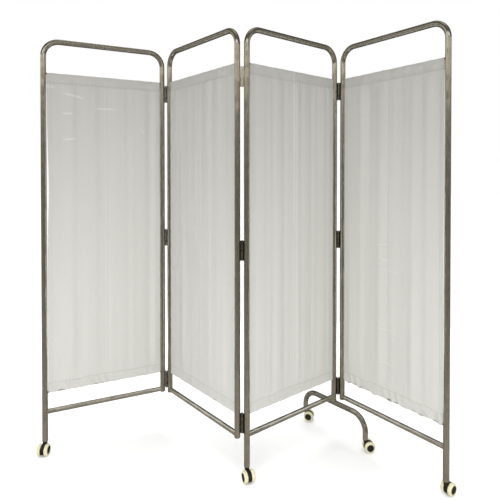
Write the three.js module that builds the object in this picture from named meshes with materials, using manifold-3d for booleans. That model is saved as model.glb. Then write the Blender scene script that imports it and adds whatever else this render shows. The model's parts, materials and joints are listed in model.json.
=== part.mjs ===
// Four-panel folding ward screen: bent stainless tube frames on twin-wheel casters, joined by butt
// hinges in a zigzag, each panel closed by a cloth curtain on two rods. Millimetres, +Z up, the
// front of the screen towards -Y, origin on the floor under the middle of the standing screen.
import * as THREE from "three";
import { mergeVertices } from "three/addons/utils/BufferGeometryUtils.js";
import Module from "manifold-3d";

const wasm = await Module();
wasm.setup();

// Panel frames
const overallHeight = 1720;
const postSpacing = 500;
const tubeRadius = 11.1;
const cornerRadius = 62;
const railRadius = 9.5;
const railHeight = 172;

// How the screen stands: plan heading of each panel from left to right, in degrees
const panelHeadings = [33.5, -43, 47, -46];

// Fits
const seatGap = 0.3;
const runningGap = 0.5;
const cutOverrun = 5;
const weldTolerance = 0.0001;

// Butt hinges: three on each line, their pins on the side that closes
const hingeDrop = 195;
const hingeRise = 45;
const leafLength = 76.2;
const leafWidth = 14;
const leafThickness = 1.5;
const leavesApart = 0.8;
const knuckleCount = 5;
const knuckleRadius = 3.2;
const knuckleGap = 0.4;
const pinRadius = 1.6;
const foldedGap = 2.8;

// Short legs, closed by a domed plug just under the rail
const plugDome = 4.5;
const plugWall = 2.4;
const plugSpigotLength = 14;

// Twin-wheel casters
const wheelRadius = 22.5;
const wheelWidth = 14;
const tyreShoulder = 3;
const tyreDepth = 6;
const hubRecess = 1.6;
const hoodWidth = 15;
const hoodInset = 3;
const casterTrail = 15;
const axleRadius = 3;
const axleProud = 0.6;
const stemRadius = 5;
const stemLength = 28;
const stemWall = 2;
const collarFlange = 4;
const collarThickness = 1.6;
const noseTaper = 0.7;
const noseRound = 2.4;
const noseHeight = 4;

// Foot arch, square to the third panel under its right leg
const archHalfSpread = 171;
const archClearance = 2;

// Plan headings in which the casters trail, in degrees
const trailHeadings = { panel_1: -84, panel_3: -60, panel_4: 42, foot_back: -10, foot_front: 14 };

// Curtain rods and the cloth on them
const topRodDrop = 146;
const bottomRodRise = 81;
const rodRadius = 3;
const rodCollarFlange = 2;
const rodCollarLength = 2.5;
const clothThickness = 1.2;
const hemDepth = 41;
const clothSideGap = 4;
const sideDraw = 5;
const foldDepth = 4.5;
const foldCount = 5;
const foldPhases = [0.4, 2.1, 3.6, 5.2];

// Facets
const tubeSides = 16;
const bendSteps = 6;
const knuckleSides = 8;
const wheelSides = 20;
const stemSides = 12;
const rodSides = 8;
const clothColumns = 22;
const clothBodyRows = 4;
const domeShares = [0.3, 0.55, 0.8, 1];
const noseShares = [0.35, 0.7, 1];

// Heights and seats that follow from the sizes above
const topRailHeight = overallHeight - tubeRadius;
const collarHeight = 2 * wheelRadius + runningGap;
const collarRadius = stemRadius + collarFlange;
const noseRadius = tubeRadius - noseTaper;
const noseFaceRadius = noseRadius - noseRound;
const hubRadius = wheelRadius - tyreDepth;
const hoodRadius = wheelRadius - hoodInset;
const legEnd = collarHeight + collarThickness + seatGap;
const tubeEnd = railHeight - railRadius;
const plugEnd = tubeEnd - seatGap - plugDome;
const plugSpigotRadius = tubeRadius - seatGap - plugWall;
const archHeight = plugEnd - archClearance - tubeRadius;
const archBendRadius = archHeight - legEnd - noseHeight - stemLength;
const lowHinge = railHeight + hingeRise;
const topHinge = overallHeight - hingeDrop;
const hingeHeights = [lowHinge, (lowHinge + topHinge) / 2, topHinge];
const pinReach = tubeRadius + seatGap + leafThickness + leavesApart / 2;
const pinSetOff = tubeRadius + foldedGap / 2;
const topRodHeight = overallHeight - topRodDrop;
const bottomRodHeight = railHeight + bottomRodRise;
const rodCollarRadius = rodRadius + rodCollarFlange;
const clearWidth = postSpacing - 2 * tubeRadius;
const innerRod = rodRadius + seatGap;
const hemHalf = innerRod + clothThickness;

const finishes = {
  tube: { color: 0x8d8980, roughness: 0.2, metalness: 1 },
  hinge: { color: 0x6b675e, roughness: 0.35, metalness: 1 },
  rod: { color: 0x9a978f, roughness: 0.3, metalness: 1 },
  cloth: { color: 0xd4d3ce, roughness: 0.9, metalness: 0 },
  hood: { color: 0x17150f, roughness: 0.5, metalness: 0 },
  tyre: { color: 0xefe9c0, roughness: 0.55, metalness: 0 },
};

// A closed geometry as a solid that can be joined and cut
function toSolid(geometry) {
  const bare = geometry.index ? geometry.toNonIndexed() : geometry.clone();
  bare.deleteAttribute("normal");
  bare.deleteAttribute("uv");
  const merged = mergeVertices(bare, weldTolerance);
  const vertProperties = merged.attributes.position.array;
  const triVerts = new Uint32Array(merged.index.array);
  return new wasm.Manifold(new wasm.Mesh({ numProp: 3, vertProperties, triVerts }));
}

function toGeometry(solid) {
  const mesh = solid.getMesh();
  const geometry = new THREE.BufferGeometry();
  geometry.setAttribute("position", new THREE.BufferAttribute(new Float32Array(mesh.vertProperties), 3));
  geometry.setIndex(new THREE.BufferAttribute(new Uint32Array(mesh.triVerts), 1));
  geometry.computeVertexNormals();
  return geometry;
}

function piece(name, finish, geometry) {
  const mesh = new THREE.Mesh(geometry, new THREE.MeshStandardMaterial(finishes[finish]));
  mesh.name = name;
  return mesh;
}

// The corners of a regular section, with a flat towards each axis
function ring(radius, sides) {
  return Array.from({ length: sides }, (_, i) => {
    const angle = (2 * Math.PI * (i + 0.5)) / sides;
    return new THREE.Vector2(radius * Math.cos(angle), radius * Math.sin(angle));
  });
}

// A line of straight runs and round bends, with a station only where the tube needs a ring
class TubeLine extends THREE.Curve {
  constructor(corners, bendRadius) {
    super();
    this.stations = [corners[0]];
    this.headings = [corners[1].clone().sub(corners[0]).normalize()];
    for (let i = 1; i < corners.length - 1; i++) {
      this.addBend(corners[i], corners[i + 1], bendRadius);
    }
    this.stations.push(corners.at(-1));
    this.headings.push(this.headings.at(-1));
  }

  addBend(corner, next, bendRadius) {
    const from = this.headings.at(-1).clone();
    const to = next.clone().sub(corner).normalize();
    const turn = from.angleTo(to);
    const start = corner.clone().addScaledVector(from, -bendRadius * Math.tan(turn / 2));
    const inward = to.clone().addScaledVector(from, -to.dot(from)).normalize();
    const centre = start.clone().addScaledVector(inward, bendRadius);
    for (let step = 0; step <= bendSteps; step++) {
      const angle = (turn * step) / bendSteps;
      const across = centre.clone().addScaledVector(inward, -bendRadius * Math.cos(angle));
      this.stations.push(across.addScaledVector(from, bendRadius * Math.sin(angle)));
      const heading = from.clone().multiplyScalar(Math.cos(angle));
      this.headings.push(heading.addScaledVector(inward, Math.sin(angle)));
    }
  }

  getPointAt(share, target = new THREE.Vector3()) {
    return target.copy(this.stations[Math.round(share * (this.stations.length - 1))]);
  }

  getTangentAt(share, target = new THREE.Vector3()) {
    return target.copy(this.headings[Math.round(share * (this.stations.length - 1))]);
  }
}

function bentTube(line, radius) {
  const section = new THREE.Shape(ring(radius, tubeSides));
  return toSolid(
    new THREE.ExtrudeGeometry(section, { steps: line.stations.length - 1, extrudePath: line }),
  );
}

// A solid turned about Z, from a profile of [radius, height] that runs upwards outside
function turned(profile, sides) {
  const points = profile.map(([radius, height]) => new THREE.Vector2(radius, height));
  const lathe = new THREE.LatheGeometry(points, sides, Math.PI / sides);
  return toSolid(lathe.rotateX(Math.PI / 2));
}

function post(radius, low, high, sides) {
  const profile = [
    [0, low],
    [radius, low],
    [radius, high],
    [0, high],
  ];
  return turned(profile, sides);
}

// The point straight up at a height in a panel's own frame, on its left or right post
function onPost(side, height) {
  return new THREE.Vector3(side === "right" ? postSpacing : 0, 0, height);
}

// The rounded end that closes a leg above its caster
function legNose() {
  const arc = noseShares.map((share) => {
    const angle = (share * Math.PI) / 2;
    return [noseFaceRadius + noseRound * Math.sin(angle), noseHeight * (1 - Math.cos(angle))];
  });
  const profile = [[0, 0], [noseFaceRadius, 0], ...arc];
  profile.push([noseRadius, noseHeight + cutOverrun], [0, noseHeight + cutOverrun]);
  return turned(profile, tubeSides);
}

function stemSocket() {
  return post(stemRadius + runningGap, -cutOverrun, stemLength + runningGap, stemSides);
}

function plugSocket() {
  return post(plugSpigotRadius + seatGap, -cutOverrun, plugSpigotLength + runningGap, stemSides);
}

// The foot arch's line in the third panel's frame: square to the panel, through its right post
function archLine() {
  const low = legEnd + noseHeight;
  return new TubeLine(
    [
      new THREE.Vector3(postSpacing, archHalfSpread, low),
      new THREE.Vector3(postSpacing, archHalfSpread, archHeight),
      new THREE.Vector3(postSpacing, -archHalfSpread, archHeight),
      new THREE.Vector3(postSpacing, -archHalfSpread, low),
    ],
    archBendRadius,
  );
}

function footArch() {
  let arch = bentTube(archLine(), tubeRadius);
  for (const y of [archHalfSpread, -archHalfSpread]) {
    const at = [postSpacing, y, legEnd];
    arch = arch.add(legNose().translate(at)).subtract(stemSocket().translate(at));
  }
  return toGeometry(arch);
}

// How each leg ends: on a caster, in a plug, or on the foot arch
const legKinds = [
  { left: "caster", right: "plug" },
  { left: "plug", right: "plug" },
  { left: "caster", right: "arch" },
  { left: "plug", right: "caster" },
];

// Inverted U of one bent tube
function panelFrame(kinds) {
  const low = { caster: legEnd + noseHeight, plug: tubeEnd, arch: archHeight };
  const corners = [
    onPost("left", low[kinds.left]),
    onPost("left", topRailHeight),
    onPost("right", topRailHeight),
    onPost("right", low[kinds.right]),
  ];
  let frame = bentTube(new TubeLine(corners, cornerRadius), tubeRadius);
  for (const side of ["left", "right"]) {
    if (kinds[side] === "caster") {
      const at = onPost(side, legEnd).toArray();
      frame = frame.add(legNose().translate(at)).subtract(stemSocket().translate(at));
    }
    if (kinds[side] === "plug") {
      frame = frame.subtract(plugSocket().translate(onPost(side, tubeEnd).toArray()));
    }
    if (kinds[side] === "arch") {
      frame = frame.subtract(bentTube(archLine(), tubeRadius + seatGap));
    }
  }
  return toGeometry(frame);
}

// Bottom rail, its ends coped to the posts
function bottomRail() {
  const line = new TubeLine([onPost("left", railHeight), onPost("right", railHeight)], cornerRadius);
  let rail = bentTube(line, railRadius);
  for (const side of ["left", "right"]) {
    const low = railHeight - railRadius - cutOverrun;
    const cope = post(tubeRadius + seatGap, low, low + 2 * (railRadius + cutOverrun), tubeSides);
    rail = rail.subtract(cope.translate(onPost(side, 0).toArray()));
  }
  return toGeometry(rail);
}

function endPlug() {
  const dome = domeShares.map((share) => {
    const angle = (share * Math.PI) / 2;
    return [tubeRadius * Math.sin(angle), plugDome * (1 - Math.cos(angle))];
  });
  const profile = [[0, 0], ...dome];
  profile.push([plugSpigotRadius, plugDome], [plugSpigotRadius, plugDome + plugSpigotLength]);
  profile.push([0, plugDome + plugSpigotLength]);
  return toGeometry(turned(profile, tubeSides).translate([0, 0, plugEnd]));
}

// Curtain rod between the posts, with a small collar against each
function curtainRod(height) {
  const length = clearWidth - 2 * seatGap;
  const profile = [
    [0, 0],
    [rodCollarRadius, 0],
    [rodCollarRadius, rodCollarLength],
    [rodRadius, rodCollarLength],
    [rodRadius, length - rodCollarLength],
    [rodCollarRadius, length - rodCollarLength],
    [rodCollarRadius, length],
    [0, length],
  ];
  const rod = turned(profile, rodSides).rotate([0, 90, 0]);
  return toGeometry(rod.translate([tubeRadius + seatGap, 0, height]));
}

// Heights down the cloth with the half thickness there, the hems swelling round the rods
function clothRows() {
  const hem = [
    [hemHalf, clothThickness / 2],
    [hemHalf / 2, hemHalf * Math.sqrt(3 / 4)],
    [0, hemHalf],
    [-2 * hemHalf, clothThickness * 1.5],
    [hemHalf - hemDepth, clothThickness],
  ];
  const rows = hem.map(([rise, half]) => [topRodHeight + rise, half]);
  const high = topRodHeight + hemHalf - hemDepth;
  const low = bottomRodHeight - hemHalf + hemDepth;
  for (let i = 1; i <= clothBodyRows; i++) {
    rows.push([high + ((low - high) * i) / (clothBodyRows + 1), clothThickness / 2]);
  }
  const lowerHem = hem.map(([rise, half]) => [bottomRodHeight - rise, half]).reverse();
  return [...rows, ...lowerHem];
}

// Where the cloth's middle lies: flat at the rods, in soft upright folds between them
function clothMiddle(across, height, phase) {
  const down = (topRodHeight - height) / (topRodHeight - bottomRodHeight);
  const free = THREE.MathUtils.clamp(Math.sin(Math.PI * down), 0, 1) ** 0.6;
  const turn = 2 * Math.PI * foldCount * across;
  const wave = Math.sin(turn + phase) + 0.35 * Math.sin(1.7 * turn + 2 * phase);
  const hang = free * foldDepth * wave * (0.8 + 0.2 * Math.cos(Math.PI * across));
  const draw = sideDraw * free * (2 * across - 1);
  const span = clearWidth - 2 * clothSideGap;
  return new THREE.Vector2(tubeRadius + clothSideGap + span * across - draw, hang);
}

// The cloth as one closed sheet, its two hems bored for the rods
function cloth(phase) {
  const rows = clothRows();
  const positions = [];
  for (const face of [-1, 1]) {
    for (const [height, half] of rows) {
      for (let i = 0; i <= clothColumns; i++) {
        const middle = clothMiddle(i / clothColumns, height, phase);
        positions.push(middle.x, middle.y + face * half, height);
      }
    }
  }
  const wide = clothColumns + 1;
  const at = (face, row, column) => (face * rows.length + row) * wide + column;
  const indices = [];
  const quad = (a, b, c, d) => indices.push(a, b, c, a, c, d);
  for (let row = 0; row < rows.length - 1; row++) {
    for (let i = 0; i < clothColumns; i++) {
      quad(at(0, row, i), at(0, row + 1, i), at(0, row + 1, i + 1), at(0, row, i + 1));
      quad(at(1, row, i), at(1, row, i + 1), at(1, row + 1, i + 1), at(1, row + 1, i));
    }
    quad(at(0, row, 0), at(1, row, 0), at(1, row + 1, 0), at(0, row + 1, 0));
    const last = clothColumns;
    quad(at(0, row, last), at(0, row + 1, last), at(1, row + 1, last), at(1, row, last));
  }
  const bottom = rows.length - 1;
  for (let i = 0; i < clothColumns; i++) {
    quad(at(0, 0, i), at(0, 0, i + 1), at(1, 0, i + 1), at(1, 0, i));
    quad(at(0, bottom, i), at(1, bottom, i), at(1, bottom, i + 1), at(0, bottom, i + 1));
  }
  const skin = new THREE.BufferGeometry();
  skin.setAttribute("position", new THREE.Float32BufferAttribute(positions, 3));
  skin.setIndex(indices);
  let sheet = toSolid(skin);
  for (const height of [topRodHeight, bottomRodHeight]) {
    const bore = post(innerRod, -cutOverrun, postSpacing + cutOverrun, rodSides);
    sheet = sheet.subtract(bore.rotate([0, 90, 0]).translate([0, 0, height]));
  }
  return toGeometry(sheet);
}

// Knuckle i of a hinge leaf, from its low to its high end about the leaf's middle
function knuckleSpan(i) {
  const pitch = (leafLength + knuckleGap) / knuckleCount;
  const low = -leafLength / 2 + i * pitch;
  return [low, low + pitch - knuckleGap];
}

// Leaf plate seen square on: away from the pin along x, with a tab to each of its own knuckles
function leafOutline(own) {
  const edge = knuckleRadius + runningGap;
  const half = leafLength / 2;
  const points = [new THREE.Vector2(leafWidth, -half)];
  points.push(new THREE.Vector2(leafWidth, half));
  for (let i = knuckleCount - 1; i >= 0; i--) {
    const [low, high] = knuckleSpan(i);
    const reach = own.includes(i) ? 0 : edge;
    const top = i === knuckleCount - 1 ? half : own.includes(i) ? high : high + knuckleGap;
    const base = i === 0 ? -half : own.includes(i) ? low : low - knuckleGap;
    points.push(new THREE.Vector2(reach, top), new THREE.Vector2(reach, base));
  }
  return new THREE.Shape(points);
}

// One hinge leaf about its pin: the post lies towards +X of the pin, the plate runs along +Y
function hingeLeaf(carriesPin) {
  const own = Array.from({ length: knuckleCount }, (_, i) => i).filter((i) => (i % 2 === 0) === carriesPin);
  const plate = new THREE.ExtrudeGeometry(leafOutline(own), { depth: leafThickness, bevelEnabled: false });
  plate.rotateX(Math.PI / 2).rotateZ(Math.PI / 2);
  plate.translate(leavesApart / 2, 0, 0);
  let leaf = toSolid(plate);
  for (const i of own) {
    leaf = leaf.add(post(knuckleRadius, ...knuckleSpan(i), knuckleSides));
  }
  const half = leafLength / 2;
  return carriesPin
    ? leaf.add(post(pinRadius, -half, half, knuckleSides))
    : leaf.subtract(post(pinRadius + seatGap, -half, half, knuckleSides));
}

// A leaf on a panel's left or right post, with its pin in front of (-1) or behind (1) the panel
function leafOnPanel(carriesPin, side, pinSide, height) {
  const across = side === "right" ? -1 : 1;
  const leaf = hingeLeaf(carriesPin).scale([across, -pinSide, 1]);
  const pin = onPost(side, height).add(new THREE.Vector3(-across * pinReach, pinSide * pinSetOff, 0));
  return toGeometry(leaf.translate(pin.toArray()));
}

// Caster hood seen from the side: a disc round the axle and a block up to the stem
function hoodOutline() {
  const bossHalf = stemRadius + stemWall;
  const stopAngle = Math.acos((bossHalf - casterTrail) / hoodRadius);
  const startAngle = 1.25 * Math.PI;
  const low = new THREE.Vector2(
    casterTrail + hoodRadius * Math.cos(startAngle),
    wheelRadius + hoodRadius * Math.sin(startAngle),
  );
  const shape = new THREE.Shape();
  shape.moveTo(bossHalf, collarHeight + collarThickness / 2);
  shape.lineTo(-bossHalf, collarHeight + collarThickness / 2);
  shape.lineTo(-bossHalf, wheelRadius + bossHalf);
  shape.quadraticCurveTo(-bossHalf, low.y + bossHalf, low.x, low.y);
  shape.absarc(casterTrail, wheelRadius, hoodRadius, startAngle, 2 * Math.PI + stopAngle);
  return shape;
}

// Hood, collar, stem and axle of a caster: the stem's axis is Z, the wheels trail along +X
function casterHood() {
  const plate = new THREE.ExtrudeGeometry(hoodOutline(), {
    depth: hoodWidth,
    bevelEnabled: false,
    curveSegments: 10,
  });
  plate.rotateX(Math.PI / 2).translate(0, hoodWidth / 2, 0);
  const axleHalf = hoodWidth / 2 + runningGap + wheelWidth - hubRecess + axleProud;
  const axle = post(axleRadius, -axleHalf, axleHalf, stemSides).rotate([90, 0, 0]);
  let hood = toSolid(plate).add(axle.translate([casterTrail, 0, wheelRadius]));
  hood = hood.add(post(collarRadius, collarHeight, collarHeight + collarThickness, tubeSides));
  return toGeometry(hood.add(post(stemRadius, collarHeight, legEnd + stemLength, stemSides)));
}

// A wheel about its axle along +Y, its outer face recessed to the hub; flats of the tread at its radius
function casterWheel(side) {
  const corner = 1 / Math.cos(Math.PI / wheelSides);
  const bore = axleRadius + seatGap;
  const profile = [
    [bore, 0],
    [(wheelRadius - tyreShoulder) * corner, 0],
    [wheelRadius * corner, tyreShoulder],
    [wheelRadius * corner, wheelWidth - tyreShoulder],
    [(wheelRadius - tyreShoulder) * corner, wheelWidth],
    [hubRadius, wheelWidth - hubRecess],
    [bore, wheelWidth - hubRecess],
    [bore, 0],
  ];
  const wheel = turned(profile, wheelSides).rotate([-90, 0, 0]).scale([1, side, 1]);
  const offset = side * (hoodWidth / 2 + runningGap);
  return toGeometry(wheel.translate([casterTrail, offset, wheelRadius]));
}

const root = new THREE.Group();
const screen = new THREE.Group();
root.add(screen);

// A vector along a panel (dx) and square to it towards the back (dy), in plan
function inPlan(heading, dx, dy) {
  return new THREE.Vector3(dx, dy, 0).applyAxisAngle(new THREE.Vector3(0, 0, 1), heading);
}

const headings = panelHeadings.map((degrees) => THREE.MathUtils.degToRad(degrees));

// Each line of hinges: the panels it joins and the side of its pins, 1 behind and -1 in front
const hingeLines = [
  { left: 0, right: 1, pinSide: -1 },
  { left: 1, right: 2, pinSide: 1 },
  { left: 2, right: 3, pinSide: -1 },
];

// Left posts in plan, walked outwards from the third panel through the hinge pins
function pinFrom(panel, leftPost, side, pinSide) {
  const alongPanel = side === "right" ? postSpacing + pinReach : -pinReach;
  return leftPost.clone().add(inPlan(headings[panel], alongPanel, pinSide * pinSetOff));
}

function leftPostFrom(panel, pin, side, pinSide) {
  const alongPanel = side === "right" ? postSpacing + pinReach : -pinReach;
  return pin.clone().sub(inPlan(headings[panel], alongPanel, pinSide * pinSetOff));
}

const leftPosts = [];
const pins = [];
leftPosts[2] = new THREE.Vector3();
pins[1] = pinFrom(2, leftPosts[2], "left", hingeLines[1].pinSide);
leftPosts[1] = leftPostFrom(1, pins[1], "right", hingeLines[1].pinSide);
pins[0] = pinFrom(1, leftPosts[1], "left", hingeLines[0].pinSide);
leftPosts[0] = leftPostFrom(0, pins[0], "right", hingeLines[0].pinSide);
pins[2] = pinFrom(2, leftPosts[2], "right", hingeLines[2].pinSide);
leftPosts[3] = leftPostFrom(3, pins[2], "left", hingeLines[2].pinSide);

const panels = headings.map((heading, i) => {
  const panel = new THREE.Group();
  panel.position.copy(leftPosts[i]);
  panel.rotation.z = heading;
  screen.add(panel);
  return panel;
});

panels.forEach((panel, i) => {
  const name = `panel_${i + 1}`;
  panel.add(piece(`${name}_frame`, "tube", panelFrame(legKinds[i])));
  panel.add(piece(`${name}_bottom_rail`, "tube", bottomRail()));
  panel.add(piece(`${name}_top_rod`, "rod", curtainRod(topRodHeight)));
  panel.add(piece(`${name}_bottom_rod`, "rod", curtainRod(bottomRodHeight)));
  panel.add(piece(`${name}_cloth`, "cloth", cloth(foldPhases[i])));
  for (const side of ["left", "right"]) {
    if (legKinds[i][side] === "plug") {
      const plug = piece(`${name}_${side}_plug`, "tube", endPlug());
      plug.position.copy(onPost(side, 0));
      panel.add(plug);
    }
  }
});
panels[2].add(piece("foot_arch", "tube", footArch()));

const levelNames = ["low", "middle", "top"];
hingeLines.forEach(({ left, right, pinSide }, line) => {
  hingeHeights.forEach((height, level) => {
    const name = `hinge_${line + 1}_${levelNames[level]}`;
    panels[left].add(piece(`${name}_pin_leaf`, "hinge", leafOnPanel(true, "right", pinSide, height)));
    panels[right].add(piece(`${name}_leaf`, "hinge", leafOnPanel(false, "left", pinSide, height)));
  });
});

// Where each caster's stem stands, in its panel's frame
const stems = {
  panel_1: [0, new THREE.Vector3(0, 0, 0)],
  panel_3: [2, new THREE.Vector3(0, 0, 0)],
  panel_4: [3, new THREE.Vector3(postSpacing, 0, 0)],
  foot_back: [2, new THREE.Vector3(postSpacing, archHalfSpread, 0)],
  foot_front: [2, new THREE.Vector3(postSpacing, -archHalfSpread, 0)],
};
for (const [place, [panel, offset]] of Object.entries(stems)) {
  const caster = new THREE.Group();
  caster.name = `caster_${place}`;
  caster.position.copy(leftPosts[panel]).add(inPlan(headings[panel], offset.x, offset.y));
  caster.rotation.z = THREE.MathUtils.degToRad(trailHeadings[place]);
  caster.add(piece(`caster_${place}_hood`, "hood", casterHood()));
  caster.add(piece(`caster_${place}_left_wheel`, "tyre", casterWheel(1)));
  caster.add(piece(`caster_${place}_right_wheel`, "tyre", casterWheel(-1)));
  screen.add(caster);
}

// The origin goes to the floor under the middle of the screen's outline
const outline = new THREE.Box3().setFromObject(screen);
const middle = outline.getCenter(new THREE.Vector3());
screen.position.set(-middle.x, -middle.y, 0);

export default root;
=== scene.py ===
import json
import math

import bpy
from mathutils import Matrix, Vector


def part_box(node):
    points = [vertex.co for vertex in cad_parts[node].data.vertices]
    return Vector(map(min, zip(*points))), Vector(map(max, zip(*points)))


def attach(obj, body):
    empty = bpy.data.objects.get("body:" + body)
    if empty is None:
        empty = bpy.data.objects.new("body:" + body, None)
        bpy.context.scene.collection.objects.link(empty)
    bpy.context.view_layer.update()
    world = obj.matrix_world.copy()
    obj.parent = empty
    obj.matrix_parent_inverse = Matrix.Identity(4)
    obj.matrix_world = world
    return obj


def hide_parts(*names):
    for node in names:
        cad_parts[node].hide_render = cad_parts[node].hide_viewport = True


# Folding ward screen: four bent-tube panels with gathered curtains on twin-wheel casters
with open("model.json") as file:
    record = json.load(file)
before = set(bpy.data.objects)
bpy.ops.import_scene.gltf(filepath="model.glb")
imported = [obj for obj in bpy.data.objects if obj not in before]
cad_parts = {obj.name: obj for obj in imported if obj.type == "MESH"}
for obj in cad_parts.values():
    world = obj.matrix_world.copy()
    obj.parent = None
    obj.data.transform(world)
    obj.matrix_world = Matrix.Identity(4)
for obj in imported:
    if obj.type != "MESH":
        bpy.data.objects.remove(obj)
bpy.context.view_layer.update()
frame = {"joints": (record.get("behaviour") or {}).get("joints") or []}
print("frame loaded")

# Camera, at the photograph's viewing angle
view = {
    "place": (0.29689, -2.01552, 1.15347),
    "turn": 7.339,      # degrees to the left of +Y
    "tilt": -0.742,     # degrees up from level
    "lens": 34.469,
    "shift": -0.1364,
}
aim = (math.radians(90 + view["tilt"]), 0, math.radians(view["turn"]))
bpy.ops.object.camera_add(location=view["place"], rotation=aim)
camera = bpy.context.object
camera.data.lens = view["lens"]
camera.data.shift_y = view["shift"]
bpy.context.scene.camera = camera
bpy.context.scene.view_settings.view_transform = "Standard"
print("camera set")

# How the panels stand, walked out from the hinge pins of the frame
screen = {
    "headings": (33.5, -43.0, 47.0, -46.0),     # degrees from +X, left to right
    "postSpacing": 0.5,
    "tubeRadius": 0.0111,
    "pinReach": 0.0133,      # post centre to pin, along the panel
    "pinSetOff": 0.0125,     # and square to it
}
joints = {joint["name"]: joint for joint in frame["joints"]}


def moveBy(x, y, z):
    return Matrix.Translation((x, y, z))


def turnBy(degrees, axis):
    return Matrix.Rotation(math.radians(degrees), 4, axis)


def panelPlace(panel, pinName, along, off):
    pin = joints[pinName]["pos_m"]
    turn = turnBy(screen["headings"][panel], "Z")
    return Matrix.Translation(Vector((pin[0], pin[1], 0)) - turn @ Vector((along, off, 0))) @ turn


farPin = screen["postSpacing"] + screen["pinReach"]
panels = [
    panelPlace(0, "fold_left", farPin, -screen["pinSetOff"]),
    panelPlace(1, "fold_left", -screen["pinReach"], -screen["pinSetOff"]),
    panelPlace(2, "fold_middle", -screen["pinReach"], screen["pinSetOff"]),
    panelPlace(3, "fold_right", -screen["pinReach"], -screen["pinSetOff"]),
]


# Helpers for finishes
def addNode(tree, kind, **settings):
    # A setting is a socket to link from, an input's value or a property of the node
    node = tree.nodes.new("ShaderNode" + kind)
    for key, value in settings.items():
        if key not in node.inputs:
            setattr(node, key, value)
        elif isinstance(value, bpy.types.NodeSocket):
            tree.links.new(value, node.inputs[key])
        else:
            node.inputs[key].default_value = value
    return node


def combined(tree, operation, *values):
    # A Math node on sockets or plain numbers
    node = addNode(tree, "Math", operation=operation)
    for socket, value in zip(node.inputs, values):
        if isinstance(value, (int, float)):
            socket.default_value = value
        else:
            tree.links.new(value, socket)
    return node.outputs[0]


def times(tree, first, second):
    return combined(tree, "MULTIPLY", first, second)


def larger(tree, first, second):
    return combined(tree, "MAXIMUM", first, second)


def raised(tree, rest, value, factor):
    # The rest, and the value times the factor on top
    return combined(tree, "MULTIPLY_ADD", value, factor, rest)


def spread(tree, factor, low, high, fromLow=0.3, fromHigh=0.7):
    limits = {"From Min": fromLow, "From Max": fromHigh, "To Min": low, "To Max": high}
    return addNode(tree, "MapRange", Value=factor, **limits).outputs[0]


def tint(tree, factor, dark, light, low=0.0, high=1.0):
    ramp = addNode(tree, "ValToRGB", Fac=factor)
    for stop, colour, place in zip(ramp.color_ramp.elements, (dark, light), (low, high)):
        stop.position = place
        stop.color = (*colour, 1)
    return ramp.outputs["Color"]


def toned(tree, colour, factor, tone):
    # The colour multiplied by a tone, as much as the factor says
    mix = addNode(tree, "Mix", data_type="RGBA", blend_type="MULTIPLY", Factor=factor, A=colour, B=tone)
    return mix.outputs["Result"]


def attribute(tree, name, output):
    return addNode(tree, "Attribute", attribute_name=name).outputs[output]


def bump(tree, shader, height, strength, distance):
    node = addNode(tree, "Bump", Height=height, Strength=strength, Distance=distance)
    tree.links.new(node.outputs["Normal"], shader.inputs["Normal"])


def newFinish(name, **settings):
    material = bpy.data.materials.new(name)
    material.use_nodes = True
    shader = material.node_tree.nodes["Principled BSDF"]
    for key, value in settings.items():
        shader.inputs[key].default_value = value
    return material, material.node_tree, shader


# Node groups shared by several finishes
def nodeGroup(name, inputs, outputs):
    # Reads a vector and some numbers, puts out masks
    tree = bpy.data.node_groups.new(name, "ShaderNodeTree")
    tree.interface.new_socket("Vector", in_out="INPUT", socket_type="NodeSocketVector")
    for label, value in inputs.items():
        tree.interface.new_socket(label, in_out="INPUT", socket_type="NodeSocketFloat").default_value = value
    for label in outputs:
        tree.interface.new_socket(label, in_out="OUTPUT", socket_type="NodeSocketFloat")
    return tree, tree.nodes.new("NodeGroupInput").outputs, tree.nodes.new("NodeGroupOutput").inputs


def useGroup(tree, group, source, **values):
    return addNode(tree, "Group", node_tree=group, Vector=source, **values).outputs


def makeDrawnStreaks():
    # Long thin marks along a tube or plate, from drawing and polishing
    tree, given, made = nodeGroup("drawnStreaks", {"Across": 700.0, "Along": 5.0}, ("Streaks", "Clouds", "Waves"))
    scale = addNode(tree, "CombineXYZ", X=given["Across"], Y=given["Across"], Z=given["Along"])
    stretch = addNode(tree, "VectorMath", operation="MULTIPLY", Vector=given["Vector"])
    tree.links.new(scale.outputs[0], stretch.inputs[1])
    fine = addNode(tree, "TexNoise", Vector=stretch.outputs[0], Scale=1.0, Detail=4.0, Roughness=0.65)
    broad = addNode(tree, "TexNoise", Vector=given["Vector"], Scale=9.0, Detail=2.0, Roughness=0.5)
    # A drawn tube isn't quite round: slow waves make its reflections wander
    drawn = addNode(tree, "Mapping", Vector=given["Vector"], Scale=(90, 90, 16))
    waves = addNode(tree, "TexNoise", Vector=drawn.outputs[0], Scale=1.0, Detail=1.5, Roughness=0.5)
    for label, node in (("Streaks", fine), ("Clouds", broad), ("Waves", waves)):
        tree.links.new(node.outputs[0], made[label])
    return tree


def makeHandWear():
    # Soft smudges, for every handled surface
    tree, given, made = nodeGroup("handWear", {"Size": 18.0}, ("Smudge",))
    smudge = addNode(tree, "TexNoise", Vector=given["Vector"], Scale=given["Size"], Detail=5.0, Roughness=0.6)
    smudge.inputs["Distortion"].default_value = 0.4
    tree.links.new(spread(tree, smudge.outputs[0], 0.0, 1.0, 0.42, 0.72), made["Smudge"])
    return tree


drawnStreaks = makeDrawnStreaks()
handWear = makeHandWear()


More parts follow.
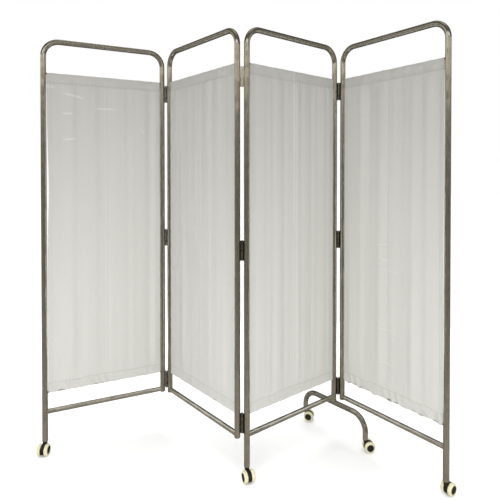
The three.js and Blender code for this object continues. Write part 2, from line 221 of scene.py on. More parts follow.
def steelFinish(name, dark, light, smooth, rough, fine=700.0):
    # Polished stainless tube: the marks follow the tube through its bends by the tubeSpace attribute
    material, tree, shader = newFinish(name, Metallic=1.0)
    place = attribute(tree, "tubeSpace", "Vector")
    marks = useGroup(tree, drawnStreaks, place, Across=fine)
    smudge = useGroup(tree, handWear, place)["Smudge"]
    mixed = raised(tree, spread(tree, marks["Clouds"], 0.0, 0.2), marks["Streaks"], 0.8)
    tree.links.new(tint(tree, mixed, dark, light, 0.2, 0.8), shader.inputs["Base Color"])
    worn = spread(tree, smudge, 0.0, 0.08, 0.0, 1.0)
    roughness = combined(tree, "ADD", spread(tree, marks["Streaks"], smooth, rough), worn)
    tree.links.new(roughness, shader.inputs["Roughness"])
    bump(tree, shader, raised(tree, marks["Waves"], marks["Streaks"], 0.006), 1.0, 0.0020)
    return material


def hingeFinish(name):
    # Leaves coloured near black, a painted shade for the dark room they mirror; knuckles paler, a painted highlight
    material, tree, shader = newFinish(name, Metallic=1.0)
    place = attribute(tree, "tubeSpace", "Vector")
    flat = addNode(tree, "Mapping", Vector=place, Scale=(1, 1, 0))
    reach = addNode(tree, "VectorMath", operation="LENGTH", Vector=flat.outputs[0]).outputs["Value"]
    marks = useGroup(tree, drawnStreaks, place, Across=420.0, Along=40.0)["Streaks"]
    smudge = useGroup(tree, handWear, place, Size=60.0)["Smudge"]
    # Painted highlight: paler colour on the knuckles, fading out just beyond them
    paintedHighlight = spread(tree, reach, 1.0, 0.0, hinge["knuckleRadius"], hinge["knuckleRadius"] + hinge["highlightEdge"])
    smudged = raised(tree, times(tree, marks, 0.6), smudge, 0.4)
    # Painted shade: the near-black leaf colour; painted highlight: the paler knuckle colour
    black = tint(tree, smudged, (0.085, 0.080, 0.070), (0.17, 0.16, 0.14))
    bright = tint(tree, smudged, (0.30, 0.29, 0.26), (0.52, 0.50, 0.46))
    mixed = addNode(tree, "Mix", data_type="RGBA", Factor=paintedHighlight, A=black, B=bright)
    tree.links.new(mixed.outputs["Result"], shader.inputs["Base Color"])
    tree.links.new(spread(tree, smudge, 0.26, 0.4, 0.0, 1.0), shader.inputs["Roughness"])
    bump(tree, shader, marks, 0.1, 0.0002)
    return material


def lineMask(tree, distance, place, halfWidth):
    # 1 on a line at that distance, falling softly to 0 on both sides
    away = combined(tree, "ABSOLUTE", combined(tree, "SUBTRACT", distance, place))
    return spread(tree, away, 1.0, 0.0, 0.0, halfWidth)


def nearerEdge(tree, distance, size):
    # Distance from the nearer of two opposite edges
    off = combined(tree, "ABSOLUTE", combined(tree, "SUBTRACT", distance, size / 2))
    return combined(tree, "SUBTRACT", size / 2, off)


def stitchDashes(tree, distance):
    wave = combined(tree, "SINE", times(tree, distance, 2 * math.pi / cloth["stitch"]))
    return spread(tree, wave, 0.0, 1.0, -0.5, 0.1)


def clothFinish(name):
    # Thin woven curtain: weave, doubled and stitched hems, creases from packing
    material, tree, shader = newFinish(name, **{"Roughness": 0.82, "Sheen Weight": 0.2, "Sheen Roughness": 0.5})
    wide, long, seam = screen["postSpacing"] - 2 * (tubeRadius + cloth["sideGap"]), cloth["long"], cloth["seam"]
    cut = addNode(tree, "UVMap", uv_map="cut").outputs[0]
    flat = addNode(tree, "Mapping", Vector=cut, Scale=(wide, long, 1)).outputs[0]
    parts = addNode(tree, "SeparateXYZ", Vector=flat).outputs
    across, down = parts["X"], parts["Y"]
    side, end = nearerEdge(tree, across, wide), nearerEdge(tree, down, long)
    # The lower seam wanders a little
    wander = addNode(tree, "TexNoise", Vector=flat, Scale=9.0, Detail=1.0).outputs[0]
    wander = spread(tree, wander, -cloth["seamWander"], cloth["seamWander"])
    lower = spread(tree, down, 1.0, 0.0, long * 0.4, long * 0.6)
    end = combined(tree, "ADD", end, times(tree, wander, lower))
    # Dashed stitches inside each hem's edge, and the valley that they pull
    endSeam, sideSeam = seam - cloth["stitchInset"], cloth["sideHem"] - cloth["stitchInset"]
    stitch = larger(
        tree,
        times(tree, lineMask(tree, end, endSeam, 0.0011), stitchDashes(tree, across)),
        times(tree, lineMask(tree, side, sideSeam, 0.0009), stitchDashes(tree, down)),
    )
    valley = larger(
        tree,
        lineMask(tree, end, endSeam + 0.0012, 0.0042),
        times(tree, lineMask(tree, side, sideSeam + 0.0008, 0.0026), 0.55),
    )
    endHem = spread(tree, end, 1.0, 0.0, seam - 0.001, seam + 0.001)
    sideHem = spread(tree, side, 1.0, 0.0, cloth["sideHem"] - 0.001, cloth["sideHem"] + 0.001)
    threads = {"Vector": flat, "wave_type": "BANDS", "Scale": cloth["threads"], "Distortion": 0.3}
    warp = addNode(tree, "TexWave", bands_direction="X", **threads)
    weft = addNode(tree, "TexWave", bands_direction="Y", **threads)
    slub = addNode(tree, "TexNoise", Vector=flat, Scale=160.0, Detail=3.0, Roughness=0.6)
    drawn = addNode(tree, "Mapping", Vector=flat, Scale=(7.0, 0.5, 1)).outputs[0]
    crinkle = addNode(tree, "TexNoise", Vector=drawn, Scale=6.0, Detail=4.0, Roughness=0.5, Distortion=0.6)
    # Packing creases: one down the middle and some across, worn away in places
    room = addNode(tree, "TexCoord").outputs["Object"]
    worn = addNode(tree, "TexNoise", Vector=room, Scale=7.0, Detail=2.0).outputs[0]
    wavy = raised(tree, down, worn, 0.012)

    def scattered(places, halfWidth):
        # Short soft lines across the cloth, each fading out at its two ends
        found = None
        for middle, share, reach, slant in places:
            # The marks are placed on the hanging part, whose top is half a seam from the cut edge
            fallen = long - seam / 2 - share * (long - seam) - wide * slant * middle
            line = lineMask(tree, raised(tree, wavy, across, -slant), fallen, halfWidth)
            length = lineMask(tree, across, middle * wide, reach * wide)
            one = times(tree, line, combined(tree, "MINIMUM", times(tree, length, 2.0), 1.0))
            found = one if found is None else larger(tree, found, one)
        return found

    crossed = times(tree, scattered(cloth["creases"], 0.0035), attribute(tree, "packed", "Fac"))
    # The marks are painted highlight only: they change the colour and not the bump
    paintedHighlight = times(tree, scattered(cloth["marks"], 0.0065), attribute(tree, "markHighlight", "Fac"))
    # The upright crease is sharp near the top and dies out lower down
    middle = lineMask(tree, raised(tree, across, worn, 0.006), wide / 2 + 0.003, 0.0034)
    middle = times(tree, middle, spread(tree, down, 0.3, 1.0, long * 0.45, long * 0.85))
    crease = larger(tree, times(tree, middle, attribute(tree, "creased", "Fac")), crossed)
    weave = times(tree, warp.outputs["Fac"], weft.outputs["Fac"])
    height = raised(tree, times(tree, crinkle.outputs[0], 0.12), weave, 0.02)
    for mask, step in ((crease, 0.30), (stitch, 0.22), (larger(tree, endHem, sideHem), 0.15), (valley, -0.35)):
        height = raised(tree, height, mask, step)
    bump(tree, shader, height, 0.6, 0.0022)
    colour = tint(tree, slub.outputs[0], cloth["shade"], cloth["light"], 0.3, 0.7)
    # Painted highlight: creases and marks are made paler in colour. Painted shade: the upper hem is a little darker,
    # where two layers let less light through
    pale = raised(tree, times(tree, crease, 0.7), paintedHighlight, 1.3)
    upper = times(tree, endHem, spread(tree, down, 0.25, 1.0, long * 0.4, long * 0.6))
    colour = toned(tree, colour, pale, (1.16, 1.16, 1.16, 1))
    colour = toned(tree, colour, upper, (0.925, 0.92, 0.915, 1))
    # Painted shade: the valleys that the stitches pull are darker in colour, as well as dipping in the bump
    colour = toned(tree, colour, times(tree, valley, 0.6), (0.80, 0.80, 0.79, 1))
    tree.links.new(colour, shader.inputs["Base Color"])
    return material


def mouldedFinish(name, dark, light, smooth, rough, grain):
    material, tree, shader = newFinish(name)
    place = addNode(tree, "TexCoord").outputs["Object"]
    smudge = useGroup(tree, handWear, place, Size=45.0)["Smudge"]
    skin = addNode(tree, "TexNoise", Vector=place, Scale=grain, Detail=3.0)
    tree.links.new(tint(tree, smudge, dark, light), shader.inputs["Base Color"])
    tree.links.new(spread(tree, smudge, smooth, rough, 0.0, 1.0), shader.inputs["Roughness"])
    bump(tree, shader, skin.outputs[0], 0.2, 0.0003)
    return material


# Modelling helpers
def deselect():
    if bpy.context.object and bpy.context.object.mode != "OBJECT":
        bpy.ops.object.mode_set(mode="OBJECT")
    bpy.ops.object.select_all(action="DESELECT")


def pickOnly(piece):
    deselect()
    piece.select_set(True)
    bpy.context.view_layer.objects.active = piece


def editAll():
    bpy.ops.object.mode_set(mode="EDIT")
    bpy.ops.mesh.select_all(action="SELECT")


def applyPlace():
    bpy.ops.object.transform_apply(location=True, rotation=True, scale=True)


def startRing(name, at, radius, sides, rotation=(0, 0, 0)):
    # A ring to extrude from; pen keeps the middle and the radius of the last ring
    deselect()
    bpy.ops.mesh.primitive_circle_add(vertices=sides, radius=radius, location=at, rotation=rotation)
    bpy.context.object.name = name
    bpy.ops.object.mode_set(mode="EDIT")
    bpy.ops.mesh.select_mode(type="VERT")
    bpy.ops.mesh.select_all(action="SELECT")
    return {"at": Vector(at), "radius": radius}


def run(pen, step, radius=None):
    bpy.ops.mesh.extrude_region_move(TRANSFORM_OT_translate={"value": tuple(step)})
    pen["at"] = pen["at"] + Vector(step)
    if radius is not None and radius != pen["radius"]:
        factor = radius / pen["radius"]
        bpy.ops.transform.resize(value=(factor, factor, factor), center_override=pen["at"])
        pen["radius"] = radius


def climb(pen, rings):
    # Ring by ring along Z: [height, radius]
    for (height, radius), (before, _) in zip(rings[1:], rings):
        run(pen, (0, 0, height - before), radius)


def bend(pen, centre):
    # A quarter turn about Y
    axis = (0, 1, 0)
    bpy.ops.mesh.spin(steps=tube["bendSteps"], angle=-math.radians(90), center=centre, axis=axis)
    pen["at"] = Vector(centre) + turnBy(90, axis) @ (pen["at"] - Vector(centre))


def pointOut():
    bpy.ops.mesh.normals_make_consistent(inside=False)
    bpy.ops.object.mode_set(mode="OBJECT")


def tidyFaces():
    bpy.ops.mesh.select_all(action="SELECT")
    bpy.ops.mesh.remove_doubles(threshold=1e-6)
    pointOut()
    applyPlace()


def closeEnds():
    bpy.ops.mesh.select_all(action="SELECT")
    bpy.ops.mesh.fill_holes(sides=0)
    tidyFaces()


def bridgeEnds():
    bpy.ops.mesh.select_all(action="DESELECT")
    bpy.ops.mesh.select_non_manifold()
    bpy.ops.mesh.bridge_edge_loops()
    tidyFaces()


def selectEdges(piece, wanted):
    # Into edit mode with only the edges whose two ends pass the test
    bpy.ops.object.mode_set(mode="EDIT")
    bpy.ops.mesh.select_mode(type="EDGE")
    bpy.ops.mesh.select_all(action="DESELECT")
    bpy.ops.object.mode_set(mode="OBJECT")
    for edge in piece.data.edges:
        edge.select = wanted(*(piece.data.vertices[v].co for v in edge.vertices))
    bpy.ops.object.mode_set(mode="EDIT")


def turned(name, rings, sides, axis=(0, 0, 1), ring=False):
    # A lathe-like piece, ring by ring: [radius, height along the axis]
    up = Vector(axis)
    tilt = Vector((0, 0, 1)).rotation_difference(up).to_euler()
    pen = startRing(name, up * rings[0][1], rings[0][0], sides, tilt)
    for (radius, height), (_, before) in zip(rings[1:], rings):
        run(pen, up * (height - before), radius)
    bridgeEnds() if ring else closeEnds()
    return bpy.context.object


def modify(kind, **settings):
    piece = bpy.context.object
    modifier = piece.modifiers.new(kind.title(), kind)
    for key, value in settings.items():
        setattr(modifier, key, value)
    bpy.ops.object.modifier_apply(modifier=modifier.name)


def smooth(degrees=35):
    bpy.ops.object.shade_smooth_by_angle(angle=math.radians(degrees))


def setInPlace(piece, place, body, slot, finish, *nodes):
    pickOnly(piece)
    piece.matrix_world = place @ piece.matrix_world
    applyPlace()
    if place.determinant() < 0:
        editAll()
        pointOut()
    piece.data.materials.clear()
    piece.data.materials.append(finish)
    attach(piece, body)
    if nodes:
        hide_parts(*nodes)
    return piece


def copyOf(piece, name):
    twin = piece.copy()
    twin.data = piece.data.copy()
    twin.name = name
    bpy.context.collection.objects.link(twin)
    return twin


def keepTubeSpace(piece, straighten=tuple):
    # Each vertex remembers where it was on the straight tube: two ways across it and its length
    places = [straighten(vertex.co) for vertex in piece.data.vertices]
    layer = piece.data.attributes.new("tubeSpace", "FLOAT_VECTOR", "POINT")
    layer.data.foreach_set("vector", [value for place in places for value in place])


# Bent tubes
tubeRadius = screen["tubeRadius"]
tube = {
    "sides": 32,
    "bendSteps": 14,
    "cornerRadius": 0.062,
    "top": 1.7089,
    # A leg that takes a stem is drawn in at its end: [height, radius]
    "noseRings": (
        (0.0, 0.0080), (0.0005, 0.0094), (0.0014, 0.0101), (0.0026, 0.0104), (0.0040, 0.0111), (0.0055, 0.0111),
    ),
    "ease": 0.003,
}


def bentU(name, width, top, bendRadius, leftEnd, rightEnd, noses):
    # An upside-down U in the XZ plane, the left leg on the Z axis
    shoulder, ease = top - bendRadius, tube["ease"]
    start, stop = (tube["noseRings"] if nose else ((0.0, tubeRadius),) for nose in noses)
    pen = startRing(name, (0, 0, leftEnd), start[0][1], tube["sides"])
    climb(pen, start)
    # Short rings beside each bend keep the shading of the long straight parts true
    run(pen, (0, 0, shoulder - ease - pen["at"].z))
    run(pen, (0, 0, ease))
    bend(pen, (bendRadius, 0, shoulder))
    run(pen, (ease, 0, 0))
    run(pen, (width - 2 * bendRadius - 2 * ease, 0, 0))
    run(pen, (ease, 0, 0))
    bend(pen, (width - bendRadius, 0, shoulder))
    run(pen, (0, 0, -ease))
    run(pen, (0, 0, rightEnd + stop[-1][0] - pen["at"].z))
    climb(pen, stop[::-1])
    closeEnds()
    piece = bpy.context.object
    quarter = bendRadius * math.pi / 2

    def straighten(co):
        x, z = (co.x, co.z) if co.x < width / 2 else (width - co.x, co.z)
        if z < shoulder:
            across, along = x, z
        elif x < bendRadius:
            turn = math.atan2(z - shoulder, bendRadius - x)
            across = bendRadius - math.hypot(bendRadius - x, z - shoulder)
            along = shoulder + bendRadius * turn
        else:
            across, along = top - z, shoulder + quarter + x - bendRadius
        return (across, co.y, along if co.x < width / 2 else 10 - along)

    keepTubeSpace(piece, straighten)
    smooth()
    return piece


def straightTube(name, start, end, radius, sides):
    # Along X
    pen = startRing(name, (start, 0, 0), radius, sides, (0, math.radians(90), 0))
    run(pen, (end - start, 0, 0))
    closeEnds()
    piece = bpy.context.object
    keepTubeSpace(piece, lambda co: (co.y, co.z, co.x))
    smooth()
    return piece


polishedSteel = steelFinish("polishedSteel", (0.46, 0.44, 0.39), (0.62, 0.60, 0.54), smooth=0.06, rough=0.12)
# Painted highlight: the rails get a paler copy of the post steel, for the brighter light they mirror from above
railSteel = steelFinish("railSteel", (0.66, 0.64, 0.58), (0.82, 0.80, 0.73), smooth=0.07, rough=0.12, fine=240.0)
rodSteel = steelFinish("rodSteel", (0.36, 0.35, 0.32), (0.55, 0.54, 0.50), smooth=0.2, rough=0.35)
weldSteel = steelFinish("weldSteel", (0.22, 0.18, 0.13), (0.46, 0.42, 0.35), smooth=0.3, rough=0.5)

legKinds = (("caster", "plug"), ("plug", "plug"), ("caster", "arch"), ("plug", "caster"))
rail = {"radius": 0.0095, "height": 0.172, "inset": 0.004, "sides": 28}
legEnds = {
    "caster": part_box("panel_1_frame")[0][2],
    "plug": rail["height"] - rail["radius"],
    "arch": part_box("foot_arch")[1][2] - tubeRadius,
}


def buildFrames():
    width, inset = screen["postSpacing"], rail["inset"]
    for i, kinds in enumerate(legKinds):
        name = f"panel_{i + 1}"
        ends = (legEnds[kind] for kind in kinds)
        noses = [kind == "caster" for kind in kinds]
        piece = bentU(f"{name}_tube", width, tube["top"], tube["cornerRadius"], *ends, noses)
        setInPlace(piece, panels[i], name, "steel", polishedSteel, f"{name}_frame")
        piece = straightTube(f"{name}_rail", inset, width - inset, rail["radius"], rail["sides"])
        place = panels[i] @ moveBy(0, 0, rail["height"])
        setInPlace(piece, place, name, "steel", railSteel, f"{name}_bottom_rail")


foot = {"halfSpread": 0.171, "noseLength": 0.004, "straightLeg": 0.028}


def buildFoot():
    top, legEnd = legEnds["arch"], legEnds["caster"]
    bendRadius = top - legEnd - foot["noseLength"] - foot["straightLeg"]
    piece = bentU("foot_tube", 2 * foot["halfSpread"], top, bendRadius, legEnd, legEnd, (True, True))
    place = moveBy(screen["postSpacing"], foot["halfSpread"], 0) @ turnBy(-90, "Z")
    setInPlace(piece, panels[2] @ place, "panel_3", "steel", polishedSteel, "foot_arch")


# Weld beads where one tube meets another: a ring bent to the larger tube's side
bead = {"thickness": 0.0011, "sides": 8, "around": 48, "ripples": 30, "rippleDepth": 0.12}


def weldBead(name, ringRadius):
    # The smaller tube runs along +X from a tube that stands on Z
    deselect()
    bpy.ops.mesh.primitive_torus_add(
        major_radius=ringRadius,
        minor_radius=bead["thickness"],
        major_segments=bead["around"],
        minor_segments=bead["sides"],
        rotation=(0, math.radians(90), 0),
    )
    piece = bpy.context.object
    piece.name = name
    applyPlace()
    for vertex in piece.data.vertices:
        out = min(abs(vertex.co.y), ringRadius)
        turn = math.atan2(vertex.co.z, vertex.co.y)
        ripple = 1 + bead["rippleDepth"] * math.sin(bead["ripples"] * turn)
        vertex.co.x = vertex.co.x * ripple + math.sqrt(tubeRadius**2 - min(out, tubeRadius) ** 2)
    keepTubeSpace(piece)
    smooth(60)
    return piece


def buildWelds():
    lift = moveBy(0, 0, rail["height"])
    far = moveBy(screen["postSpacing"], 0, 0) @ turnBy(180, "Z")
    for i, place in enumerate(panels):
        name = f"panel_{i + 1}"
        piece = weldBead(f"{name}_left_weld", rail["radius"])
        setInPlace(piece, place @ lift, name, "steel", weldSteel)
        piece = weldBead(f"{name}_right_weld", rail["radius"])
        setInPlace(piece, place @ lift @ far, name, "steel", weldSteel)
    # The right leg of the third panel stands on the foot
    piece = weldBead("foot_weld", tubeRadius - 0.0003)
    stand = moveBy(screen["postSpacing"], 0, legEnds["arch"]) @ turnBy(-90, "Y")
    setInPlace(piece, panels[2] @ stand @ turnBy(90, "X"), "panel_3", "steel", weldSteel)


# Domed end plugs of the short legs
plug = {"flat": 0.0004, "dome": 0.0045, "radius": 0.0111, "steps": 8, "spigot": 0.0084, "spigotLength": 0.008}


def buildPlugs():
    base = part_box("panel_1_right_plug")[0][2]
    rings = [(plug["flat"], 0.0)]
    for step in range(1, plug["steps"] + 1):
        angle = math.radians(90 * step / plug["steps"])
        rings.append((plug["radius"] * math.sin(angle), plug["dome"] * (1 - math.cos(angle))))
    rings += [(plug["spigot"], plug["dome"]), (plug["spigot"], plug["dome"] + plug["spigotLength"])]
    for i, kinds in enumerate(legKinds):
        for side, kind in zip(("left", "right"), kinds):
            if kind != "plug":
                continue
            name = f"panel_{i + 1}"
            piece = turned(f"{name}_{side}_cap", rings, tube["sides"])
            keepTubeSpace(piece)
            smooth()
            across = screen["postSpacing"] if side == "right" else 0
            place = panels[i] @ moveBy(across, 0, base)
            setInPlace(piece, place, name, "steel", polishedSteel, f"{name}_{side}_plug")


# Curtain rods, a dark collar against each post
rod = {
    "radius": 0.003,
    "sides": 20,
    "gap": 0.0003,
    "collarRings": ((0.0044, 0.0), (0.0044, 0.0018), (0.0038, 0.0025), (0.0032, 0.004)),
    "collarSides": 24,
}
blackNylon = mouldedFinish("blackNylon", (0.012, 0.011, 0.010), (0.03, 0.028, 0.025), 0.35, 0.5, grain=900.0)


def buildRods():
    start = tubeRadius + rod["gap"]
    end = screen["postSpacing"] - start
    for i in range(4):
        body = f"panel_{i + 1}"
        for level in ("top", "bottom"):
            place = panels[i] @ moveBy(0, 0, rodHeight(i, level))
            piece = straightTube(f"{body}_{level}_curtain_rod", start, end, rod["radius"], rod["sides"])
            setInPlace(piece, place, body, "rod", rodSteel, f"{body}_{level}_rod")
            for side, at, turn in (("left", start, 0), ("right", end, 180)):
                piece = turned(f"{body}_{level}_{side}_collar", rod["collarRings"], rod["collarSides"], (1, 0, 0))
                smooth()
                stand = moveBy(at, 0, 0) @ turnBy(turn, "Z")
                setInPlace(piece, place @ stand, body, "hood", blackNylon)


# Curtains
cloth = {
    "cut": (0.60, 1.42),      # width and length before hemming and gathering
    "columns": 220,
    "rows": 190,
    "sideGap": 0.0010,
    "sideDraw": ((0.0006, 0.0006), (0.0008, 0.0010), (0.0010, 0.0006), (0.0006, 0.0014)),
    # The first cloth is drawn in from its left post a little above the middle
    "pulled": (0.0062, 0.0, 0.0, 0.0),
    "pullPlace": 0.35,      # share of the way down
    "pullBreadth": 0.14,
    "sideHem": 0.016,
    "sleeve": 0.0041,
    "hemDepth": 0.0365,
    "turnedIn": 0.0006,
    "settle": 0.0022,
    "thickness": 0.0004,
    "threads": 420.0,
    "stitch": 0.0042,
    "stitchInset": 0.0015,
    "seamWander": 0.0045,
    # Where each panel's folds catch the light: share across at the top, at the bottom, breadth, strength
    "folds": (
        (
            (0.16, 0.12, 0.060, 1.0), (0.36, 0.35, 0.040, 0.7), (0.56, 0.54, 0.030, 1.5), (0.74, 0.73, 0.050, 0.9),
            (0.95, 0.92, 0.035, 1.2),
        ),
        (
            (0.04, 0.05, 0.030, 0.8), (0.17, 0.30, 0.045, 1.1), (0.33, 0.41, 0.030, 0.6), (0.49, 0.53, 0.035, 1.0),
            (0.64, 0.68, 0.040, 1.0), (0.81, 0.86, 0.040, 1.5),
        ),
        (
            (0.03, 0.03, 0.030, 1.4), (0.27, 0.30, 0.050, 0.7), (0.51, 0.53, 0.025, 2.4), (0.66, 0.68, 0.040, 0.7),
            (0.84, 0.83, 0.045, 1.1),
        ),
        (
            (0.05, 0.08, 0.020, 1.2), (0.24, 0.18, 0.050, 1.9), (0.47, 0.41, 0.050, 1.6), (0.60, 0.55, 0.030, 0.5),
            (0.73, 0.76, 0.050, 0.9), (0.92, 0.96, 0.035, 1.0),
        ),
    ),
    "foldSlopes": (0.27, -0.25, 0.11, -0.12),
    "foldDepth": 0.0012,
    "phases": (0.4, 2.1, 3.6, 5.2),
    "hemWrinkles": (2.0, 1.4, 0.9, 2.6),
    "scallops": (0.0006, 0.0005, 0.0005, 0.0034),
    # How the rows share the cut length: back of the hem, round the rod, front of the hem, body and on down
    "rowShares": (0.0, 0.05, 0.12, 0.19, 0.81, 0.88, 0.95, 1.0),
    # Creases across the fourth cloth, painted highlight marks on the first: share across, share down, reach, slant
    "creases": (
        (0.46, 0.568, 0.11, 0.03), (0.49, 0.602, 0.12, -0.04), (0.42, 0.525, 0.07, 0.10), (0.46, 0.782, 0.11, 0.02),
        (0.47, 0.885, 0.10, -0.03), (0.47, 0.930, 0.06, -1.13), (0.34, 0.492, 0.03, -1.6),
    ),
    "marks": (
        (0.03, 0.040, 0.045, -0.10), (0.22, 0.062, 0.10, -0.16), (0.17, 0.120, 0.05, 0.03), (0.50, 0.098, 0.10, 0.0),
        (0.83, 0.165, 0.025, -1.2), (0.18, 0.200, 0.06, 0.1),
    ),
    # How strongly each cloth shows its creases, painted highlight marks and upright crease; the creases are bumps
    # and painted highlight both
    "packed": (0.0, 0.0, 0.0, 1.0),
    "markHighlight": (1.0, 0.0, 0.0, 0.0),
    "creased": (0.35, 0.35, 1.6, 0.8),
    "shade": (0.515, 0.51, 0.48),
    "light": (0.545, 0.54, 0.51),
}


def rodHeight(panel, level):
    return sum(corner[2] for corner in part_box(f"panel_{panel + 1}_{level}_rod")) / 2


# From the cut edge round the rod to the stitches, and the whole cut length
cloth["seam"] = 2 * cloth["hemDepth"] + math.pi * cloth["sleeve"]
cloth["long"] = 2 * (cloth["seam"] - cloth["hemDepth"]) + rodHeight(0, "top") - rodHeight(0, "bottom")


def rowPlace(row):
    # Share of the rows to share of the length: the rows lie closer where the cloth turns
    long, hem, seam = cloth["long"], cloth["hemDepth"], cloth["seam"]
    marks = (0.0, hem, seam - hem, seam)
    marks += tuple(long - mark for mark in reversed(marks))
    for (a, b), (low, high) in zip(zip(cloth["rowShares"], cloth["rowShares"][1:]), zip(marks, marks[1:])):
        if row <= b + 1e-9:
            return (low + (high - low) * (row - a) / (b - a)) / long
    return 1.0


def clothProfile(down, topRod, bottomRod):
    # Down the cut cloth: set off and height, from the turned-in top edge round the rod and on to the lower one
    hem, sleeve, turnedIn = cloth["hemDepth"], cloth["sleeve"], cloth["turnedIn"]
    wrap = math.pi * sleeve
    s = down * cloth["long"]
    fromEnd = down > 0.5
    if fromEnd:
        s = cloth["long"] - s
    if s < hem:
        off, height = turnedIn + (sleeve - turnedIn) * math.sin(s / hem * math.pi / 2) ** 2, topRod - hem + s
    elif s < hem + wrap:
        turn = (s - hem) / sleeve
        off, height = sleeve * math.cos(turn), topRod + sleeve * math.sin(turn)
    elif s < 2 * hem + wrap:
        fallen = s - hem - wrap
        off, height = -sleeve * math.cos(fallen / hem * math.pi / 2) ** 2, topRod - fallen
    else:
        off, height = 0.0, topRod - (s - hem - wrap)
    if fromEnd:
        height = topRod + bottomRod - height
    return off, height


def gathers(across, phase, lean):
    # Uneven upright folds: broad ones with narrower ones riding on them
    turn = 2 * math.pi * across
    return (
        0.8 * math.sin(3.1 * turn + phase + lean)
        + 0.8 * math.sin(6.1 * turn + 2.3 * phase - 0.7 * lean)
        + 0.45 * math.sin(9.3 * turn + 4.1 * phase + 1.3 * lean)
        + 0.18 * math.sin(15.1 * turn + 1.7 * phase)
    )


def foldAt(panel, across, hang, wide):
    # Each fold is a slope that the light catches, and the cloth falls back slowly between them
    phase = cloth["phases"][panel]
    free = min(1.0, max(0.0, hang - 0.01) / 0.05) ** 0.7 * min(1.0, max(0.0, 0.98 - hang) / 0.07) ** 0.7
    fall = min(max(hang, 0.0), 1.0)
    rise, ends = 0.0, 0.0
    for top, bottom, breadth, strength in cloth["folds"][panel]:
        place = top + (bottom - top) * fall
        size = strength * breadth * math.sqrt(math.pi) / 2
        rise += size * (math.erf((across - place) / breadth) + math.erf(place / breadth))
        ends += size * (math.erf((1 - place) / breadth) + math.erf(place / breadth))
    body = cloth["foldSlopes"][panel] * wide * (rise - ends * across)
    lean = 0.5 * math.sin(2.6 * fall + phase)
    narrow = cloth["foldDepth"] * gathers(across, phase, lean) * min(1.0, min(across, 1 - across) / 0.07)
    crease = 0.0008 * math.exp(-(((across - 0.5) / 0.008) ** 2))
    return free * ((body + narrow) * (1.15 - 0.5 * math.sin(math.pi * fall) ** 2) + crease)


def hemPucker(panel, across, height, topRod, bottomRod):
    # Small gathers along both seams, and slanting creases where the lower hem hangs loose
    phase = cloth["phases"][panel]
    seamTop = (height - topRod + cloth["hemDepth"]) / 0.011
    seamLow = (height - bottomRod - cloth["hemDepth"]) / 0.011
    pull = math.exp(-(seamTop**2)) + math.exp(-(seamLow**2))
    small = 0.00035 * pull * math.sin(2 * math.pi * across * 34 + 3 * math.sin(9 * across + phase))
    low = max(0.0, 1 - abs(height - bottomRod - 0.012) / 0.034)
    high = max(0.0, 1 - abs(height - topRod + 0.014) / 0.030)
    slant = across * 9.5 + (height - bottomRod) / 0.085 + 0.5 * math.sin(13 * across + phase)
    rise = across * 11.3 - (height - topRod) / 0.10 + 0.5 * math.sin(11 * across + 2 * phase)
    fold = 1 - 2 * abs(math.sin(math.pi * slant)) ** 0.6
    loose = 0.0014 * cloth["hemWrinkles"][panel] * low * fold * (0.55 + 0.45 * math.sin(17 * across + phase))
    tight = 0.0005 * high * (1 - 2 * abs(math.sin(math.pi * rise)) ** 0.7)
    return small + loose + tight


def buildCloths(finish):
    start = tubeRadius + cloth["sideGap"]
    span = screen["postSpacing"] - 2 * start
    for i in range(4):
        body = f"panel_{i + 1}"
        topRod, bottomRod = rodHeight(i, "top"), rodHeight(i, "bottom")
        deselect()
        bpy.ops.mesh.primitive_grid_add(x_subdivisions=cloth["columns"], y_subdivisions=cloth["rows"], size=1)
        piece = bpy.context.object
        piece.name = f"{body}_curtain"
        piece.data.uv_layers[0].name = "cut"
        drawLeft, drawRight = cloth["sideDraw"][i]
        places = []
        for vertex in piece.data.vertices:
            across, down = vertex.co.x + 0.5, rowPlace(0.5 - vertex.co.y)
            places.append((across, 1 - down))
            off, height = clothProfile(down, topRod, bottomRod)
            hang = (topRod - height) / (topRod - bottomRod)
            middle = max(0.0, math.sin(math.pi * min(max(hang, 0.0), 1.0))) ** 0.4
            draw = middle * (drawLeft * (1 - across) ** 3 - drawRight * across**3)
            pulled = math.exp(-(((hang - cloth["pullPlace"]) / cloth["pullBreadth"]) ** 2))
            draw += cloth["pulled"][i] * pulled * (1 - across) ** 3
            pucker = hemPucker(i, across, height, topRod, bottomRod)
            puff = 1 + 0.16 * math.sin(41 * across + i) * math.sin(17 * across + 2 * i)
            under = min(1.0, max(0.0, (bottomRod + 0.02 - height) / 0.02))
            turn = 2 * math.pi * across
            scallop = cloth["scallops"][i] * under * (math.sin(turn * 6.5 + i) - 0.4 * math.sin(turn * 11 + i))
            # The hanging cloth stays level with the front of its sleeves
            settle = cloth["settle"] * min(1.0, max(0.0, hang) / 0.05) * min(1.0, max(0.0, 1 - hang) / 0.05)
            vertex.co = (
                start + span * across + draw,
                off * puff - settle - foldAt(i, across, hang, span) - pucker,
                height + (puff - 1) * 0.003 * (hang < 0) + scallop,
            )
        for loop, uv in zip(piece.data.loops, piece.data.uv_layers[0].uv):
            uv.vector = places[loop.vertex_index]
        for name in ("packed", "markHighlight", "creased"):
            layer = piece.data.attributes.new(name, "FLOAT", "POINT")
            layer.data.foreach_set("value", [cloth[name][i]] * len(piece.data.vertices))
        modify("SOLIDIFY", thickness=cloth["thickness"], offset=0)
        smooth(80)
        setInPlace(piece, panels[i], body, "cloth", finish, f"{body}_cloth")


